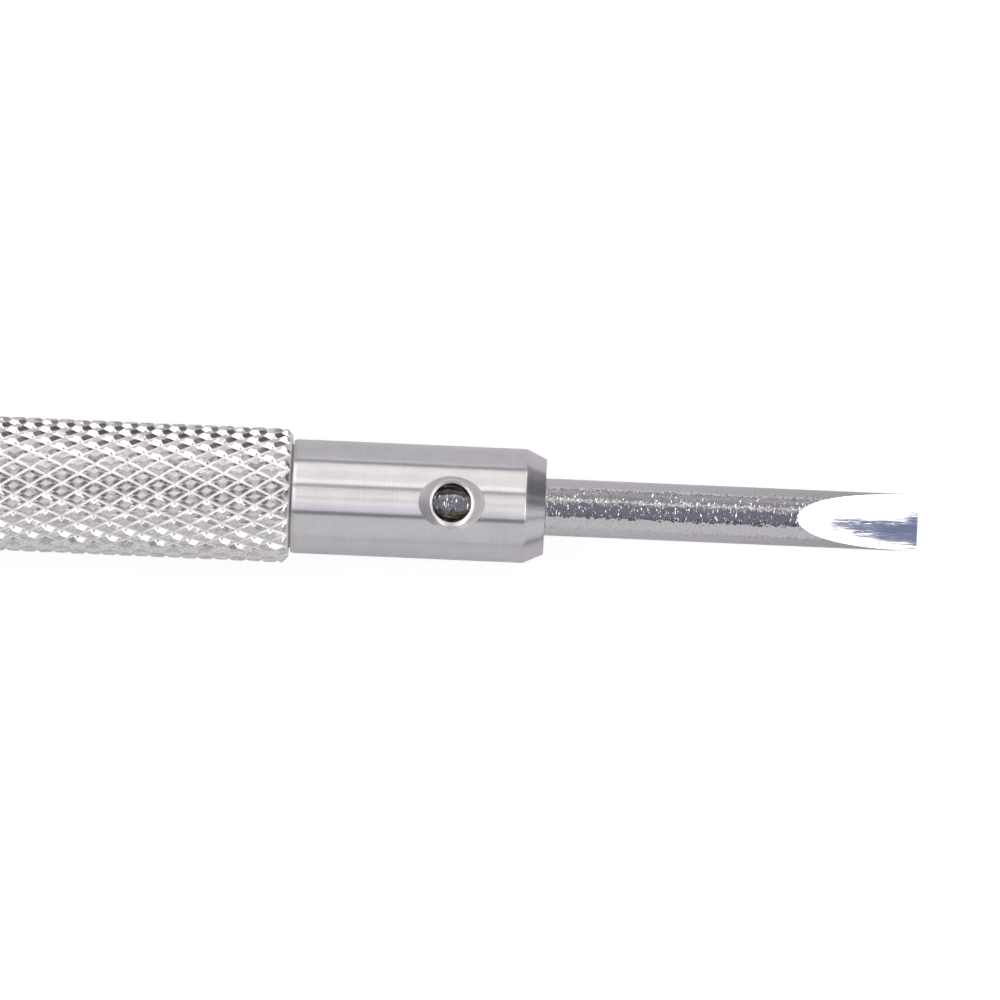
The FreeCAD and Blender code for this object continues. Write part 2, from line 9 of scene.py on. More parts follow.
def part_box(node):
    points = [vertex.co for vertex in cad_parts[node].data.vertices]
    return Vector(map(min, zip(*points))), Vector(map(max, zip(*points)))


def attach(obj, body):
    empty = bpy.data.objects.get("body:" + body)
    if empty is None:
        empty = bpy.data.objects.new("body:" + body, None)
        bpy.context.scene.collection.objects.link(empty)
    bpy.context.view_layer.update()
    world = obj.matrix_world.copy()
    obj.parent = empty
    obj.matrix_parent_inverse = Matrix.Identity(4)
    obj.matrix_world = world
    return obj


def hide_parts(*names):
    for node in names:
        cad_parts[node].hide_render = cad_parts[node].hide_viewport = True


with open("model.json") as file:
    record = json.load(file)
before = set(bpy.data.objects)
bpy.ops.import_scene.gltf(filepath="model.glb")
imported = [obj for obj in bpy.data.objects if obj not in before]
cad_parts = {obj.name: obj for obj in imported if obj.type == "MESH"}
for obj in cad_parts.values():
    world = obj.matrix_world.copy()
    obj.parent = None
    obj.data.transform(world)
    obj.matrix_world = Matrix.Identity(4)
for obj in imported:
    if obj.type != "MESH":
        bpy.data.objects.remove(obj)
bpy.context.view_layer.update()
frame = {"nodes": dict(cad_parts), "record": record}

# Watchmaker screwdriver. Lengths here are millimetres along the CAD frame's own axes (+X runs to
# the blade's edge, +Z is up) and become metres where a mesh is made. Angles round the tool are
# measured from +Z towards -Y.
MM = 0.001


def box_mm(node):
    low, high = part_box(node)
    return low / MM, high / MM


def mount_radius(name):
    mount = next(item for item in frame["record"]["mounts"] if item["name"] == name)
    return mount["dims"]["r_mm"]


# Places and sizes taken from the frame.
NOSE_RADIUS = mount_radius("nose_collar")
CREST_RADIUS = mount_radius("handle_barrel")
HANDLE_REAR = box_mm("knurled_handle")[0].x
HANDLE_FRONT = box_mm("knurled_handle")[1].x
NOSE_FRONT = box_mm("blade_holder")[1].x
SPIGOT_REAR = box_mm("blade_holder")[0].x
BLADE_REAR = box_mm("blade")[0].x
BLADE_TIP = box_mm("blade")[1].x
SCREW_LOW, SCREW_HIGH = box_mm("blade_set_screw")
HOLE_X = (SCREW_LOW.x + SCREW_HIGH.x) / 2
RING_LOW, RING_HIGH = box_mm("size_ring")
SHELL_LOW, SHELL_HIGH = box_mm("swivel_shell")
DISH_LOW, DISH_HIGH = box_mm("finger_dish")
BEARING_LOW, BEARING_HIGH = box_mm("bearing_outer_ring")

# Sizes that the outside of the frame doesn't give, the same as in the CAD model.
BLADE_RADIUS = 1.5
BLADE_BORE = 1.53
BLADE_BORE_DEPTH = 13.0
SPIGOT_RADIUS = 1.96
NOSE_CHAMFER_LENGTH = 1.05
NOSE_CHAMFER_DEPTH = 0.5
SPIGOT_CHAMFER = 0.3
HOLE_RADIUS = 1.03
COUNTERSINK_RADIUS = 1.74
SCREW_RADIUS = 1.0
SCREW_POINT = 0.25
SLOT_WIDTH = 0.36
SLOT_DEPTH = 0.42
HANDLE_CHAMFER = 0.3
HANDLE_BORE = 2.0
HANDLE_REAR_BORE_DEPTH = 8.0
HANDLE_FRONT_BORE_DEPTH = 9.0
BLADE_REAR_CHAMFER = 0.3
EDGE_THICKNESS = 0.46
GRIND_RUN = 7.4
GRIND_ENTRY = 0.3
GRIND_RADIUS = 45.5
RING_BORE = 2.32
RING_CHAMFER = 0.25
SHELL_BORE = 3.01
SHELL_NECK = 2.45
SHELL_DISH_BORE = 3.4
SHELL_CONE_RADIUS = 4.225
SHELL_CORNER_ROUND = 0.5
DISH_CHAMFER = 0.15
DISH_HOLLOW_RADIUS = 2.95
DISH_HOLLOW_DEPTH = 0.7

# Small shapes that only the visible surfaces have.
SEAM_WIDTH = 0.11
SEAM_DEPTH = 0.28
LEAD_IN_LENGTH = 0.2
LEAD_IN_DEPTH = 0.055
LEAD_IN_ROUND = 0.1
NOSE_CHAMFER_ROUND = 0.3
BORE_CHAMFER = 0.08
SINK_LIP_RADIUS = 1.2
SINK_LIP_RISE = 0.05
SINK_MARGIN = 0.06
GRIND_WIDTH = 3.4
GRIND_CROWN = 0.018
GRIND_OVERRUN = 0.08
THREAD_PITCH = 0.45
THREAD_DEPTH = 0.2
THREAD_FLANK = 0.4
THREAD_RUN_OUT = 0.05
SCREW_THREAD_DEPTH = 0.14
SCREW_CHAMFER = 0.12
SCREW_CHAMFER_LENGTH = 0.1
RING_EDGE_ROUND = 0.04
SHELL_EDGE_ROUND = 0.08
SHELL_BORE_CHAMFER = 0.1
DISH_EDGE_ROUND = 0.04
DISH_RIM_ROUND = 0.08
FINE_ROUND = 0.03

# Mesh fineness: lengths, and angles in degrees.
SEGMENTS = 192
BLADE_SEGMENTS = 256
HOLE_SEGMENTS = 128
SCREW_SEGMENTS = 96
LATHE_STEP = 0.2
FINE_STEP = 0.12
HOLE_STEP = 0.075
SCREW_STEP = 0.05
SHELL_STEP = 0.4
RIM_STEPS = 48
RIM_LEVELS = 32
DISH_STEPS = 24
ARC_STEP = 15
SHARP_ANGLE = 30

# How near counts as the same place, and how far a cutting shape reaches past what it cuts.
SAME_PLACE = 1e-3
NEAR = 0.01
CUT_MARGIN = 1.0


# Mesh helpers ---------------------------------------------------------------------------------


def rounded(corners, closed):
    """Outline points from (x, radius, rounding) corners, each rounding as an arc of chords."""
    points = []
    count = len(corners)
    for index, (x, r, rounding) in enumerate(corners):
        here = Vector((x, r))
        ends = not closed and index in (0, count - 1)
        if rounding <= 0 or ends:
            points.append(here)
            continue
        before = (Vector(corners[index - 1][:2]) - here).normalized()
        after = (Vector(corners[(index + 1) % count][:2]) - here).normalized()
        half = before.angle(after) / 2
        centre = here + (before + after).normalized() * (rounding / math.sin(half))
        start = here + before * (rounding / math.tan(half)) - centre
        sweep = math.pi - 2 * half
        side = 1 if before.x * after.y - before.y * after.x < 0 else -1
        steps = max(2, math.ceil(math.degrees(sweep) / ARC_STEP))
        for step in range(steps + 1):
            turn = Matrix.Rotation(side * sweep * step / steps, 2)
            points.append(centre + turn @ start)
    return points


def spaced(points, closed, step):
    """The same outline with no side longer than step."""
    result = []
    sides = len(points) if closed else len(points) - 1
    for index in range(sides):
        here = points[index]
        there = points[(index + 1) % len(points)]
        pieces = max(1, math.ceil((there - here).length / step))
        result.extend(here.lerp(there, piece / pieces) for piece in range(pieces))
    if not closed:
        result.append(points[-1])
    return result


def finished(mesh):
    """Face a closed mesh outwards and shade it smooth between its sharp edges."""
    work = bmesh.new()
    work.from_mesh(mesh)
    bmesh.ops.recalc_face_normals(work, faces=work.faces)
    work.to_mesh(mesh)
    work.free()
    mesh.shade_smooth()
    mesh.set_sharp_from_angle(angle=math.radians(SHARP_ANGLE))
    return mesh


def lathe(name, corners, closed=False, along="x", step=LATHE_STEP, segments=SEGMENTS):
    """Turn an outline of (position, radius, rounding) corners about the X or Z axis."""
    points = spaced(rounded(corners, closed), closed, step)
    vertices = []
    rings = []
    for point in points:
        on_axis = point.y < SAME_PLACE
        ring = []
        for segment in range(1 if on_axis else segments):
            turn = 2 * math.pi * segment / segments
            across = -point.y * math.sin(turn)
            up = point.y * math.cos(turn)
            ring.append(len(vertices))
            vertices.append((point.x, across, up) if along == "x" else (up, -across, point.x))
        rings.append(ring)
    faces = []
    pairs = list(zip(rings, rings[1:]))
    if closed:
        pairs.append((rings[-1], rings[0]))
    for first, second in pairs:
        for segment in range(segments):
            following = (segment + 1) % segments
            corners_of_face = [
                first[segment % len(first)],
                first[following % len(first)],
                second[following % len(second)],
                second[segment % len(second)],
            ]
            faces.append(list(dict.fromkeys(corners_of_face)))
    mesh = bpy.data.meshes.new(name)
    mesh.from_pydata(vertices, [], faces)
    return finished(mesh)


def prism(name, outline, low, high, along):
    """A closed outline of (a, b) points drawn out along an axis between low and high."""
    order = {"x": (2, 0, 1), "y": (0, 2, 1), "z": (0, 1, 2)}[along]
    work = bmesh.new()
    ends = []
    for level in (low, high):
        ring = []
        for a, b in outline:
            local = (a, b, level)
            ring.append(work.verts.new([local[position] for position in order]))
        ends.append(ring)
    work.faces.new(ends[0])
    work.faces.new(reversed(ends[1]))
    count = len(outline)
    for index in range(count):
        following = (index + 1) % count
        work.faces.new(
            (ends[0][index], ends[1][index], ends[1][following], ends[0][following])
        )
    mesh = bpy.data.meshes.new(name)
    work.to_mesh(mesh)
    work.free()
    return finished(mesh)


def combined(mesh, tool, operation):
    """The mesh after an exact boolean with the tool mesh."""
    holders = []
    for data in (mesh, tool):
        holder = bpy.data.objects.new("boolean_holder", data)
        bpy.context.scene.collection.objects.link(holder)
        holders.append(holder)
    modifier = holders[0].modifiers.new("boolean", "BOOLEAN")
    modifier.operation = operation
    modifier.object = holders[1]
    modifier.solver = "EXACT"
    graph = bpy.context.evaluated_depsgraph_get()
    result = bpy.data.meshes.new_from_object(holders[0].evaluated_get(graph))
    result.name = mesh.name
    for holder in holders:
        bpy.data.objects.remove(holder)
    return finished(result)


def mark_faces(mesh, finish):
    """Number each face by the finish that it has, from its middle and its normal."""
    marks = [finish(polygon.center, polygon.normal) for polygon in mesh.polygons]
    mesh.polygons.foreach_set("material_index", marks)


def new_piece(name, mesh, slot, body, replaced, *materials):
    """Link a mesh in millimetres as a piece of the object, in metres."""
    mesh.transform(Matrix.Scale(MM, 4))
    marks = [polygon.material_index for polygon in mesh.polygons]
    mesh.materials.clear()
    for material in materials:
        mesh.materials.append(material)
    mesh.polygons.foreach_set("material_index", marks)
    piece = bpy.data.objects.new(name, mesh)
    bpy.context.scene.collection.objects.link(piece)
    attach(piece, body)
    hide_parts(replaced)
    return piece


# Materials ------------------------------------------------------------------------------------

# A noise's scale is its waves in a millimetre, and a bump's depth is in millimetres.


class Graph:
    """A node tree under construction."""

    def __init__(self, tree):
        self.tree = tree
        tree.nodes.clear()

    def node(self, kind, inputs=None, **settings):
        made = self.tree.nodes.new(kind)
        for name, value in settings.items():
            setattr(made, name, value)
        for key, value in (inputs or {}).items():
            if isinstance(value, bpy.types.NodeSocket):
                self.tree.links.new(value, made.inputs[key])
            else:
                made.inputs[key].default_value = value
        return made

    def math(self, operation, *values):
        made = self.node("ShaderNodeMath", dict(enumerate(values)), operation=operation)
        return made.outputs[0]

    def vector(self, operation, *values):
        inputs = dict(enumerate(values))
        made = self.node("ShaderNodeVectorMath", inputs, operation=operation)
        return made.outputs["Value" if operation == "LENGTH" else "Vector"]

    def joined(self, x, y, z):
        return self.node("ShaderNodeCombineXYZ", {"X": x, "Y": y, "Z": z}).outputs[0]

    def ramp(self, value, low, high, to_low=0.0, to_high=1.0):
        inputs = {
            "Value": value,
            "From Min": low,
            "From Max": high,
            "To Min": to_low,
            "To Max": to_high,
        }
        made = self.node("ShaderNodeMapRange", inputs, interpolation_type="SMOOTHSTEP")
        return made.outputs["Result"]

    def noise(self, vector, scale, detail=3.0, roughness=0.55):
        inputs = {"Vector": vector, "Scale": scale, "Detail": detail, "Roughness": roughness}
        return self.node("ShaderNodeTexNoise", inputs).outputs["Fac"]

    def mix(self, factor, first, second):
        made = self.node("ShaderNodeMix", data_type="RGBA")
        for index, value in ((0, factor), (6, first), (7, second)):
            if isinstance(value, bpy.types.NodeSocket):
                self.tree.links.new(value, made.inputs[index])
            else:
                made.inputs[index].default_value = value
        return made.outputs[2]


class Metal(Graph):
    """A metal material, with its coordinates in millimetres on the piece."""

    def __init__(self, name, anisotropic=0.0):
        self.material = bpy.data.materials.new(name)
        self.material.use_nodes = True
        super().__init__(self.material.node_tree)
        self.shader = self.node("ShaderNodeBsdfPrincipled")
        self.shader.inputs["Metallic"].default_value = 1.0
        self.shader.inputs["Anisotropic"].default_value = anisotropic
        output = self.node("ShaderNodeOutputMaterial")
        self.tree.links.new(self.shader.outputs[0], output.inputs["Surface"])
        place = self.node("ShaderNodeTexCoord").outputs["Object"]
        scale = self.node("ShaderNodeVectorMath", {0: place, "Scale": 1 / MM}, operation="SCALE")
        self.place = scale.outputs[0]
        parts = self.node("ShaderNodeSeparateXYZ", {0: self.place})
        self.x, self.y, self.z = parts.outputs[:3]
        self.radius = self.vector("LENGTH", self.joined(0.0, self.y, self.z))

    def set(self, **sockets):
        names = {"colour": "Base Color"}
        for key, value in sockets.items():
            socket = self.shader.inputs[names.get(key, key.capitalize())]
            if isinstance(value, bpy.types.NodeSocket):
                self.tree.links.new(value, socket)
            else:
                socket.default_value = value

    def bump(self, height, depth_mm):
        inputs = {"Height": height, "Distance": depth_mm * MM, "Strength": 1.0}
        return self.node("ShaderNodeBump", inputs).outputs["Normal"]

    def shades(self, factor, dark, light):
        return self.mix(factor, (*dark, 1.0), (*light, 1.0))

    def spread(self, grain, low=0.0, high=1.0):
        """A noise, most of which lies between 0.3 and 0.7, spread over another range."""
        return self.ramp(grain, 0.3, 0.7, low, high)

    def along_outline(self):
        """The direction that a turned surface's outline runs in, square to its tool marks."""
        geometry = self.node("ShaderNodeNewGeometry")
        round_the_axis = self.vector("CROSS_PRODUCT", (1.0, 0.0, 0.0), geometry.outputs["Position"])
        return self.vector("CROSS_PRODUCT", round_the_axis, geometry.outputs["Normal"])


def turned_metal(name, dark, light, roughness, mark_depth, anisotropic=1.0):
    """Lathe-turned metal: fine rings round the axis, and highlights drawn out across them."""
    metal = Metal(name, anisotropic=anisotropic)
    rings = metal.joined(metal.x, metal.radius, 0.0)
    marks = metal.noise(rings, 9.0, 5.0, 0.7)
    cloud = metal.noise(metal.place, 0.9, 2.0)
    tone = metal.math("ADD", metal.math("MULTIPLY", marks, 0.6), metal.math("MULTIPLY", cloud, 0.4))
    metal.set(
        colour=metal.shades(metal.spread(tone), dark, light),
        roughness=metal.spread(marks, roughness * 0.92, roughness * 1.06),
        normal=metal.bump(metal.noise(rings, 14.0, 3.0, 0.6), mark_depth),
        tangent=metal.along_outline(),
    )
    return metal.material


def drilled_steel(name, dark, light, roughness):
    """Steel cut by a drill or tap, with its marks round the cross hole's own axis."""
    metal = Metal(name)
    across = metal.math("SUBTRACT", metal.x, HOLE_X)
    from_hole = metal.vector("LENGTH", metal.joined(across, metal.y, 0.0))
    marks = metal.noise(metal.joined(from_hole, metal.z, 0.0), 10.0, 4.0, 0.65)
    metal.set(
        colour=metal.shades(metal.spread(marks), dark, light),
        roughness=metal.spread(marks, roughness * 0.8, roughness * 1.2),
        normal=metal.bump(marks, 0.002),
    )
    return metal.material


def polished_steel():
    """Polished round steel, with the fine dimples that polishing leaves."""
    metal = Metal("blade_polished_steel")
    dimples = metal.noise(metal.vector("MULTIPLY", metal.place, (1.4, 0.8, 0.8)), 3.6, 1.5, 0.6)
    grain = metal.noise(metal.place, 14.0, 3.0, 0.6)
    metal.set(
        colour=metal.shades(metal.ramp(grain, 0.35, 0.65), (0.53, 0.52, 0.53), (0.63, 0.62, 0.63)),
        roughness=metal.spread(grain, 0.1, 0.16),
        normal=metal.bump(dimples, 0.04),
    )
    return metal.material


def ground_steel():
    """The blade's hollow-ground flats: straight grinding scratches and slightly worn sides."""
    metal = Metal("blade_ground_steel")
    lines = metal.vector("MULTIPLY", metal.place, (0.3, 3.5, 0.0))
    scratches = metal.noise(lines, 1.6, 3.0, 0.6)
    metal.set(
        colour=metal.shades(metal.spread(scratches), (0.6, 0.61, 0.66), (0.74, 0.74, 0.77)),
        roughness=metal.spread(scratches, 0.04, 0.075),
        normal=metal.bump(scratches, 0.0026),
    )
    return metal.material


def knurl_steel():
    """Rolled knurl: frosted groove bottoms painted near white as a highlight, cleaner slopes and
    torn, matt tops.
    """
    metal = Metal("knurl_steel")
    depth = metal.math("SUBTRACT", CREST_RADIUS, metal.radius)
    # Deep in the grooves the steel is rougher, and its near-white colour there is a painted
    # highlight of the bright lines.
    groove = metal.ramp(depth, KNURL_DEPTH * FROSTED_HIGHLIGHT_FROM, KNURL_DEPTH * FROSTED_HIGHLIGHT_TO)
    top = metal.ramp(depth, TORN_TO, TORN_FULLY)
    grain = metal.noise(metal.place, 7.0, 4.0, 0.7)
    pits = metal.noise(metal.place, 16.0, 2.0, 0.5)
    torn = metal.math("MULTIPLY", metal.math("ADD", grain, pits), top)
    matt = metal.math("MAXIMUM", metal.math("MULTIPLY", top, 0.8), groove)
    steel = metal.shades(metal.spread(grain), (0.58, 0.56, 0.55), (0.76, 0.745, 0.735))
    metal.set(
        colour=metal.mix(groove, steel, (0.9, 0.89, 0.88, 1.0)),
        roughness=metal.ramp(matt, 0.0, 1.0, 0.19, 0.42),
        normal=metal.bump(torn, 0.04),
    )
    return metal.material


def anodised():
    """Brown anodised aluminium over fine turning."""
    metal = Metal("ring_anodised", anisotropic=0.7)
    rings = metal.joined(metal.x, metal.radius, 0.0)
    marks = metal.noise(rings, 12.0, 4.0, 0.65)
    metal.set(
        colour=metal.shades(metal.spread(marks), (0.15, 0.062, 0.03), (0.22, 0.1, 0.05)),
        roughness=metal.spread(marks, 0.28, 0.4),
        normal=metal.bump(marks, 0.001),
        tangent=metal.along_outline(),
    )
    return metal.material


def brass():
    metal = Metal("cage_brass")
    grain = metal.noise(metal.place, 8.0, 3.0)
    metal.set(
        colour=metal.shades(grain, (0.62, 0.42, 0.14), (0.8, 0.6, 0.27)),
        roughness=metal.spread(grain, 0.25, 0.4),
        normal=metal.bump(grain, 0.002),
    )
    return metal.material


# Knurl ----------------------------------------------------------------------------------------

# Two families of rolled grooves cross on the handle. Both have the same number of starts; the
# leads are the axial distances from one groove to the next.
STARTS = 23
LEAD_FALLING = 2.09
LEAD_RISING = 1.41
KNURL_DEPTH = 0.29
# Across one pitch: where a groove's rounded bottom ends, and where a diamond's top begins.
GROOVE_ROUND = 0.07
GROOVE_ROUND_HEIGHT = 0.18
TOP_EDGE = 0.34
STATIONS = (0.0, GROOVE_ROUND, TOP_EDGE, 1 - TOP_EDGE, 1 - GROOVE_ROUND)
# Which strips between stations rise from a groove, and which fall back to one.
RISING = (0, 1)
FALLING = (3, 4)
# How far the sheet runs past the handle's ends before it is cut to length.
SHEET_SPARE = 1.5
# Slices in each end chamfer, which let the knurl follow the cone.
CHAMFER_SLICES = 8
# Unevenness of the worn tops, as (waves in a millimetre, depth) for each size of wave.
WEAR = ((1.7, 0.012), (5.3, 0.014))
# Edges are sharp above this angle in degrees, and at more than this share of the height.
KNURL_SHARP_ANGLE = 24
KNURL_SHARP_HEIGHT = 0.2
# The grooves are frosted, and painted near white as a painted highlight, where they are deeper than
# these shares of the full depth, and the tops are torn down to these depths below the crests: fully
# to the first, fading to the second.
FROSTED_HIGHLIGHT_FROM = 0.72
FROSTED_HIGHLIGHT_TO = 0.84
TORN_FULLY = 0.02
TORN_TO = 0.05


def knurl_height(u, v):
    """Height of the diamonds, 0 in a groove and 1 on a top, at groove coordinates u and v."""
    heights = []
    for value in (u, v):
        share = value % 1.0
        away = min(share, 1.0 - share)
        low = away / GROOVE_ROUND * GROOVE_ROUND_HEIGHT
        climb = (away - GROOVE_ROUND) / (TOP_EDGE - GROOVE_ROUND)
        high = GROOVE_ROUND_HEIGHT + climb * (1 - GROOVE_ROUND_HEIGHT)
        heights.append(min(1.0, low if away < GROOVE_ROUND else high))
    return min(heights)


def knurl_place(u, v):
    """Position along the handle and angle round it, for groove coordinates u and v."""
    along = (v - u) / (1 / LEAD_FALLING + 1 / LEAD_RISING)
    turn = 2 * math.pi / STARTS * (u + along / LEAD_FALLING)
    return along, turn


def knurl_sheet(length):
    """The unrolled knurl as flat faces: x along the handle, y the angle, z the height."""
    per_cell = len(STATIONS)
    spread = length * (1 / LEAD_FALLING + 1 / LEAD_RISING)
    last = math.ceil(STARTS + spread) * per_cell
    work = bmesh.new()
    made = {}

    def corner(column, row):
        key = (column, row)
        if key not in made:
            u = column // per_cell + STATIONS[column % per_cell]
            v = row // per_cell + STATIONS[row % per_cell]
            along, turn = knurl_place(u, v)
            made[key] = work.verts.new((along, turn, knurl_height(u, v)))
        return made[key]

    for column in range(STARTS * per_cell):
        first = column - per_cell
        for row in range(first, last):
            u = column / per_cell
            reach = (row / per_cell - u) / spread * length
            if not -SHEET_SPARE < reach < length + SHEET_SPARE:
                continue
            quad = [
                corner(column, row),
                corner(column + 1, row),
                corner(column + 1, row + 1),
                corner(column, row + 1),
            ]
            kinds = (column % per_cell, row % per_cell)
            same = [kind in RISING for kind in kinds], [kind in FALLING for kind in kinds]
            if all(same[0]) or all(same[1]):
                work.faces.new((quad[0], quad[1], quad[2]))
                work.faces.new((quad[0], quad[2], quad[3]))
            elif any(same[0]) and any(same[1]):
                work.faces.new((quad[0], quad[1], quad[3]))
                work.faces.new((quad[1], quad[2], quad[3]))
            else:
                work.faces.new(quad)
    return work


def slice_sheet(work, along, keep_side=0):
    """Add a line of points across the sheet, and keep only what lies on one side of it."""
    bmesh.ops.bisect_plane(
        work,
        geom=work.verts[:] + work.edges[:] + work.faces[:],
        plane_co=(along, 0, 0),
        plane_no=(1, 0, 0),
        clear_outer=keep_side < 0,
        clear_inner=keep_side > 0,
    )


def roll_up(work, length):
    """Wrap the unrolled knurl round the handle, under the cones at both ends."""
    edge_radius = CREST_RADIUS - HANDLE_CHAMFER
    for vertex in work.verts:
        along, turn, height = vertex.co
        seed = Vector((along, math.cos(turn) * CREST_RADIUS, math.sin(turn) * CREST_RADIUS))
        unevenness = sum(noise.noise(seed * waves) * depth for waves, depth in WEAR)
        worn = max(0.0, unevenness) * height
        radius = CREST_RADIUS - KNURL_DEPTH * (1 - height) - worn
        radius = min(radius, edge_radius + along, edge_radius + length - along)
        vertex.co = (HANDLE_REAR + along, -radius * math.sin(turn), radius * math.cos(turn))
    bmesh.ops.remove_doubles(work, verts=work.verts[:], dist=SAME_PLACE / 10)


def close_end(work, end, bore_bottom):
    """Close one end of the handle: a flat face, then the bore and its bottom."""
    rim = [
        tuple(edge.verts)
        for edge in work.edges
        if edge.is_boundary
        and all(abs(vertex.co.x - end) < SAME_PLACE for vertex in edge.verts)
    ]
    for along in (end, bore_bottom):
        inner = {}
        for vertex in [vertex for pair in rim for vertex in pair]:
            if vertex not in inner:
                share = HANDLE_BORE / math.hypot(vertex.co.y, vertex.co.z)
                inner[vertex] = work.verts.new((along, vertex.co.y * share, vertex.co.z * share))
        for first, second in rim:
            work.faces.new((first, second, inner[second], inner[first]))
        rim = [(inner[first], inner[second]) for first, second in rim]
    bmesh.ops.contextual_create(work, geom=[work.edges.get(pair) for pair in rim])


def shade_knurl(work):
    """Shade the handle smooth, except over the sharp edges of the diamonds."""
    bottom = CREST_RADIUS - KNURL_DEPTH * (1 - KNURL_SHARP_HEIGHT)
    for edge in work.edges:
        if len(edge.link_faces) != 2:
            continue
        middle = (edge.verts[0].co + edge.verts[1].co) / 2
        high = math.hypot(middle.y, middle.z) > bottom
        sharp = edge.calc_face_angle(0.0) > math.radians(KNURL_SHARP_ANGLE)
        edge.smooth = not (sharp and high)
    for face in work.faces:
        face.smooth = True


def make_handle():
    """The knurl as a sheet, cut to length, rolled up and closed at its ends."""
    length = HANDLE_FRONT - HANDLE_REAR
    work = knurl_sheet(length)
    slice_sheet(work, 0.0, 1)
    slice_sheet(work, length, -1)
    for step in range(1, CHAMFER_SLICES + 1):
        reach = HANDLE_CHAMFER * step / CHAMFER_SLICES
        slice_sheet(work, reach)
        slice_sheet(work, length - reach)
    roll_up(work, length)
    close_end(work, HANDLE_REAR, HANDLE_REAR + HANDLE_REAR_BORE_DEPTH)
    close_end(work, HANDLE_FRONT, HANDLE_FRONT - HANDLE_FRONT_BORE_DEPTH)
    bmesh.ops.recalc_face_normals(work, faces=work.faces[:])
    shade_knurl(work)
    mesh = bpy.data.meshes.new("handle_knurled")
    work.to_mesh(mesh)
    work.free()
    return new_piece(
        "handle_knurled", mesh, "handle_steel", "handle", "knurled_handle", knurl_steel()
    )


# Turned pieces --------------------------------------------------------------------------------


def press_thread(mesh, radius, depth, chosen):
    """Press a thread into chosen points of a cylinder about Z: outwards, or inwards below 0."""
    for vertex in mesh.vertices:
        place = vertex.co
        if not chosen(math.hypot(place.x, place.y), place.z):
            continue
        turn = math.atan2(place.y, place.x) / (2 * math.pi)
        share = (place.z / THREAD_PITCH + turn) % 1.0
        sunk = depth * max(0.0, 1 - abs(share - 0.5) / THREAD_FLANK)
        vertex.co.x *= 1 + sunk / radius
        vertex.co.y *= 1 + sunk / radius


def threaded_cutter():
    """The shape of the cross hole: a tapped hole with a countersink and a lip at both mouths."""
    beyond = NOSE_RADIUS + CUT_MARGIN
    lip = NOSE_RADIUS - (COUNTERSINK_RADIUS - SINK_LIP_RADIUS)
    sink_bottom = lip - SINK_LIP_RISE
    thread_end = sink_bottom - THREAD_RUN_OUT
    corners = [
        (-beyond, 0, 0),
        (-beyond, COUNTERSINK_RADIUS + CUT_MARGIN, 0),
        (-lip, SINK_LIP_RADIUS, 0),
        (-sink_bottom, HOLE_RADIUS, 0),
        (sink_bottom, HOLE_RADIUS, 0),
        (lip, SINK_LIP_RADIUS, 0),
        (beyond, COUNTERSINK_RADIUS + CUT_MARGIN, 0),
        (beyond, 0, 0),
    ]
    mesh = lathe(
        "cross_hole_cutter", corners, along="z", step=HOLE_STEP, segments=HOLE_SEGMENTS
    )
    press_thread(
        mesh,
        HOLE_RADIUS,
        THREAD_DEPTH,
        lambda across, z: abs(across - HOLE_RADIUS) <= NEAR and abs(z) <= thread_end,
    )
    mesh.transform(Matrix.Translation((HOLE_X, 0, 0)))
    return mesh


# The nose's finishes, in the order of its materials. The thread is a dark steel, and the seam takes
# the same dark steel as painted shade of its gap.
TURNED, CHAMFERED, COUNTERSUNK, THREAD_AND_SHADED_SEAM, LIPPED = range(5)


def nose_finish(centre, normal):
    """Which finish a face of the nose has."""
    from_hole = math.hypot(centre.x - HOLE_X, centre.y)
    from_axis = math.hypot(centre.y, centre.z)
    under_the_round = BLADE_BORE + NEAR / 2 < from_axis < NOSE_RADIUS - NEAR
    if from_hole < COUNTERSINK_RADIUS + SINK_MARGIN and under_the_round:
        lip_bottom = NOSE_RADIUS - (COUNTERSINK_RADIUS - SINK_LIP_RADIUS) - SINK_LIP_RISE - NEAR
        if abs(centre.z) < lip_bottom:
            return THREAD_AND_SHADED_SEAM
        return COUNTERSUNK if from_hole > SINK_LIP_RADIUS else LIPPED
    # The seam's gap gets the dark thread steel: painted shade of the undercut.
    in_seam = centre.x < HANDLE_FRONT + SEAM_WIDTH + NEAR
    if in_seam and from_axis < NOSE_RADIUS - LEAD_IN_DEPTH - NEAR:
        return THREAD_AND_SHADED_SEAM
    if normal.x > 0.3 and centre.x > NOSE_FRONT - NOSE_CHAMFER_LENGTH:
        return CHAMFERED
    return TURNED


